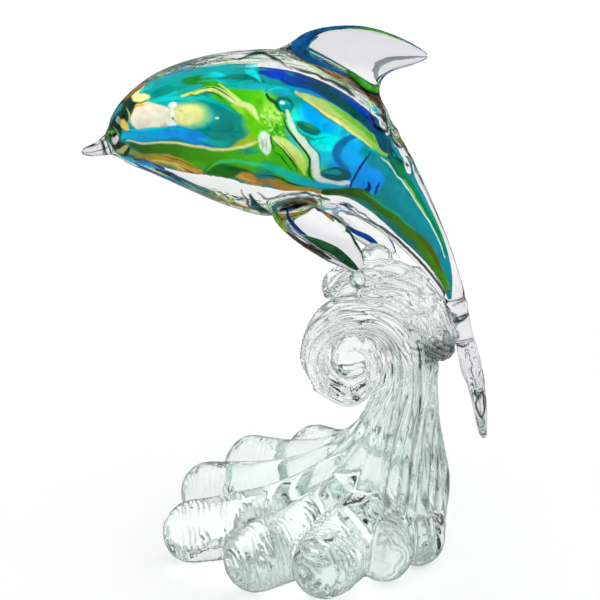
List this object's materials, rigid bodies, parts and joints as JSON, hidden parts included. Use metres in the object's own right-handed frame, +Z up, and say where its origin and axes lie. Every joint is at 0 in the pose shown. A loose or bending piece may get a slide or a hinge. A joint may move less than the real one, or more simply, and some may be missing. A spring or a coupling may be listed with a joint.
{
  "type": "glass dolphin figurine",
  "caption": "Hand-made clear glass figurine: a dolphin with a multicoloured core leaping over a curled, fluted glass wave on spreading toes.",
  "frame": {"origin": "on the shelf, at the bottom centre of the figure's bounding box", "axes": "+Z up, the dolphin swims toward -X, the display side faces -Y, its left fin is on -Y"},
  "size_m": [0.1505, 0.1035, 0.1989],
  "materials": {
    "clear_glass": "fire-polished clear crystal",
    "wave_glass": "fire-polished clear glass, faint sea-green tint, fine ripples",
    "cream_glass": "cream-yellow glass sealed inside",
    "teal_glass": "transparent teal glass sealed inside",
    "green_glass": "transparent bright green glass sealed inside",
    "blue_glass": "transparent cyan-blue glass sealed inside",
    "navy_glass": "deep blue glass thread sealed inside",
    "amber_glass": "amber glass ribbon sealed inside",
    "clear_adhesive": "cured clear adhesive bead"
  },
  "bodies": {
    "root": {"dolphin_casing": "clear_glass", "beak": "clear_glass", "tail_stock": "clear_glass", "fluke_left": "clear_glass", "fluke_right": "clear_glass", "dorsal_fin": "clear_glass", "pectoral_left": "clear_glass", "pectoral_right": "clear_glass", "core_cream": "cream_glass", "core_teal": "teal_glass", "core_green": "green_glass", "core_blue": "blue_glass", "stripe_navy": "navy_glass", "stripe_amber": "amber_glass", "dorsal_blue": "navy_glass", "dorsal_green": "green_glass", "pectoral_left_green": "green_glass", "pectoral_left_blue": "navy_glass", "pectoral_right_blue": "navy_glass", "wave_stem": "wave_glass", "wave_curl": "wave_glass", "wave_toe_1": "wave_glass", "wave_toe_2": "wave_glass", "wave_toe_3": "wave_glass", "wave_toe_4": "wave_glass", "wave_toe_5": "wave_glass", "wave_toe_6": "wave_glass", "wave_toe_7": "wave_glass", "wave_toe_8": "wave_glass", "wave_toe_9": "wave_glass", "wave_toe_10": "wave_glass", "foam_saddle": "wave_glass", "foam_lump_front": "wave_glass", "foam_lump_top": "wave_glass", "foam_lump_rear": "wave_glass", "bond_fin_left": "clear_adhesive", "bond_fin_right": "clear_adhesive", "bond_tail": "clear_adhesive"}
  },
  "joints": []
}
